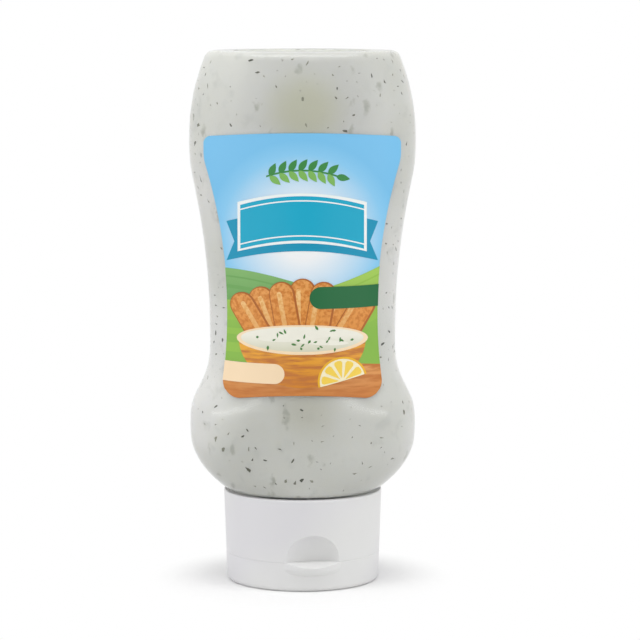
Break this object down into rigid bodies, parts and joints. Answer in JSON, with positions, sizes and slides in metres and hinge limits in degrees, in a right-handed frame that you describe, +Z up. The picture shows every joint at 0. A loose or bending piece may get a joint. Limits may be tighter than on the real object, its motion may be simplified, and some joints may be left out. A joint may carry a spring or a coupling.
{
  "type": "tartar sauce bottle",
  "caption": "Shut squeeze bottle with a waisted oval body, filled with pale tartar sauce, standing on its round flip cap, with a printed label front and back.",
  "frame": {"origin": "centre of the cap's standing face, on the common axis of the cap and the bottle", "axes": "+Z up along the axis, from the cap to the base of the bottle, which is uppermost; -Y towards the front label and the thumb recess; +X to the right of someone who faces the front label"},
  "size_m": [0.0752, 0.0535, 0.1768],
  "materials": {
    "bottle": "clear squeezable plastic with a satin gloss",
    "sauce": "thick off-white sauce with dark herb and pickle flecks",
    "cap": "smooth white moulded plastic",
    "label_front": null,
    "label_back": null
  },
  "bodies": {
    "root": {"bottle": "bottle", "sauce": "sauce", "cap_collar": "cap", "cap_lid": "cap", "label_front": "label_front", "label_back": "label_back"}
  },
  "joints": []
}
